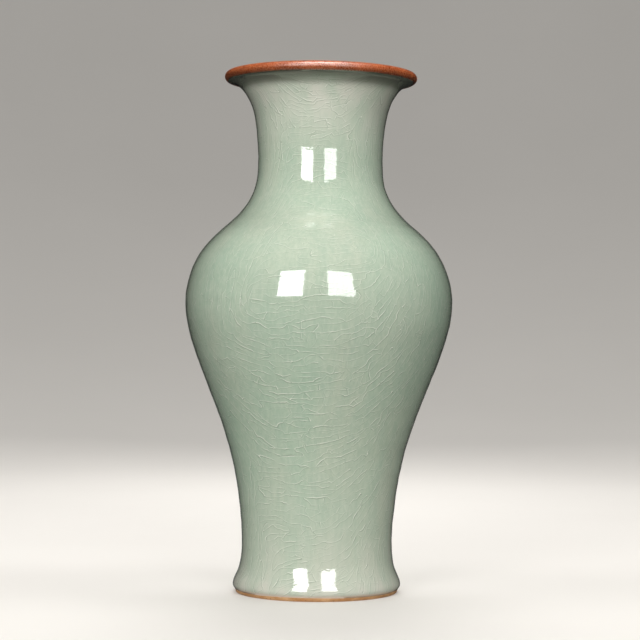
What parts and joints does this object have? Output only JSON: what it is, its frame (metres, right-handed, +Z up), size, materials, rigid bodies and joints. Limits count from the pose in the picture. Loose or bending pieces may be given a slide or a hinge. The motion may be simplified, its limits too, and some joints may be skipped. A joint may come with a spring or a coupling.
{
  "type": "baluster vase",
  "caption": "Round baluster vase with a flared mouth, short neck, full shoulder and spread foot, in celadon crackle glaze with an iron-brown lip.",
  "frame": {"origin": "centre of the resting plane under the foot", "axes": "+Z up along the vase's axis of turning; +X and +Y are any two square directions, because the vase is round"},
  "size_m": [0.1542, 0.1542, 0.3],
  "materials": {
    "body_clay": "matte",
    "iron_clay": "matte",
    "slip": "matte",
    "celadon_glaze": "gloss",
    "celadon_glaze_inside": "gloss",
    "iron_dressing": "satin"
  },
  "bodies": {
    "root": {"foot_ring": "iron_clay", "foot_slip_seam": "slip", "base_section": "body_clay", "lower_slip_seam": "slip", "shoulder_section": "body_clay", "upper_slip_seam": "slip", "neck_section": "body_clay", "outer_glaze": "celadon_glaze", "inner_glaze": "celadon_glaze_inside", "foot_well_glaze": "celadon_glaze_inside", "lip_iron_band": "iron_dressing"}
  },
  "joints": []
}
